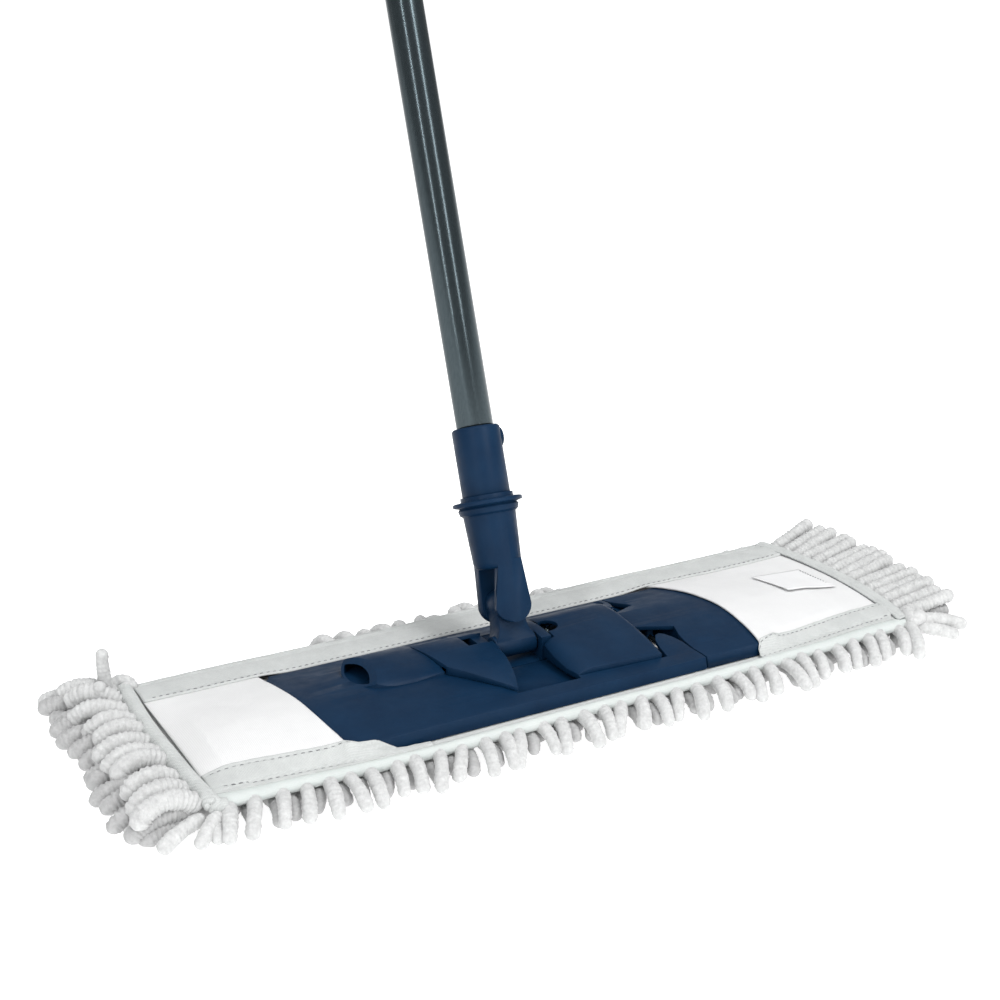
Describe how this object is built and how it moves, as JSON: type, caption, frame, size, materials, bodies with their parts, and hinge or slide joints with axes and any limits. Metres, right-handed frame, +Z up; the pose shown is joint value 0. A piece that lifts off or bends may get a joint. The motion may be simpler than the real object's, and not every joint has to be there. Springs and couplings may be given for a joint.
{
  "type": "flat mop",
  "caption": "Flat floor mop: a folding pocket frame with a foot pedal and a cross joint, a telescopic pole, and a chenille pad with cloth pockets and a fringe.",
  "frame": {"origin": "middle of the pad's underside, on the floor", "axes": "+X along the pad towards the folding wing, +Y the side the pole leans to, +Z up from the floor"},
  "size_m": [0.546, 0.446, 0.8919],
  "materials": {
    "navy_plastic": "satin",
    "pole_metal": "dark anodised, satin",
    "steel": "plain",
    "grip_rubber": "matte",
    "white_cloth": "woven",
    "binding_cloth": "woven",
    "chenille": "tufted"
  },
  "bodies": {
    "frame": {"main_plate": "navy_plastic", "joint_saddle": "navy_plastic", "saddle_screw_1": "steel", "saddle_screw_2": "steel", "swing_axle": "steel", "pedal_axle": "steel", "pedal_spring": "steel", "latch_spring": "steel", "wing_hinge_pin": "steel", "pad_pile_main": "chenille", "pad_backing_main": "white_cloth", "front_binding_main": "binding_cloth", "back_binding_main": "binding_cloth", "front_fringe_main": "chenille", "back_fringe_main": "chenille", "left_pocket": "white_cloth", "left_end_binding": "binding_cloth", "left_fringe": "chenille"},
    "wing": {"right_wing": "navy_plastic", "pad_pile_wing": "chenille", "pad_backing_wing": "white_cloth", "front_binding_wing": "binding_cloth", "back_binding_wing": "binding_cloth", "front_fringe_wing": "chenille", "back_fringe_wing": "chenille", "right_pocket": "white_cloth", "right_end_binding": "binding_cloth", "right_fringe": "chenille", "care_label": "white_cloth"},
    "pedal": {"foot_pedal": "navy_plastic"},
    "latch": {"latch_bolt": "navy_plastic"},
    "knuckle": {"knuckle": "navy_plastic"},
    "handle": {"handle_socket": "navy_plastic", "tilt_pin": "steel", "pole_sleeve": "navy_plastic", "lower_tube": "pole_metal", "lock_collet": "navy_plastic", "button_clip": "steel"},
    "button": {"snap_button": "navy_plastic"},
    "nut": {"lock_nut": "navy_plastic"},
    "pole": {"upper_tube": "pole_metal", "tube_bush": "navy_plastic", "hand_grip": "grip_rubber", "end_cap": "navy_plastic"}
  },
  "joints": [
    {"name": "wing_fold", "type": "hinge", "parent": "frame", "child": "wing", "pos_m": [0.07, 0, 0.019], "axis": [0, 1, 0], "range_deg": [0, 75]},
    {"name": "pedal_press", "type": "hinge", "parent": "frame", "child": "pedal", "pos_m": [0.0106, 0, 0.026], "axis": [0, 1, 0], "range_deg": [0, 3.5], "stiffness_Nm_per_rad": 3, "springref_deg": -4.58, "deforming": ["pedal_spring"]},
    {"name": "latch_slide", "type": "slide", "parent": "frame", "child": "latch", "axis": [-1, 0, 0], "range_m": [0, 0.0023], "deforming": ["latch_spring"]},
    {"name": "handle_swing", "type": "hinge", "parent": "frame", "child": "knuckle", "pos_m": [-0.0176, -0.006, 0.029], "axis": [1, 0, 0], "range_deg": [-40, 76]},
    {"name": "handle_tilt", "type": "hinge", "parent": "knuckle", "child": "handle", "pos_m": [-0.0176, 0.00292, 0.05107], "axis": [0, 0.9272, -0.3746], "range_deg": [-40, 40]},
    {"name": "button_press", "type": "slide", "parent": "handle", "child": "button", "axis": [-0.9997, 0.0098, 0.0243], "range_m": [0, 0.0024], "stiffness_N_per_m": 600, "springref_m": -0.001, "deforming": ["button_clip"]},
    {"name": "nut_turn", "type": "hinge", "parent": "handle", "child": "nut", "pos_m": [0.00072, 0.26505, 0.69987], "axis": [0.0262, 0.3745, 0.9269], "range_deg": [0, 90]},
    {"name": "pole_slide", "type": "slide", "parent": "handle", "child": "pole", "axis": [0.0262, 0.3745, 0.9269], "range_m": [0, 0.48]}
  ],
  "couplings": [
    {"joint": "latch_slide", "follows": "pedal_press", "m_per_rad": 0.0368}
  ]
}
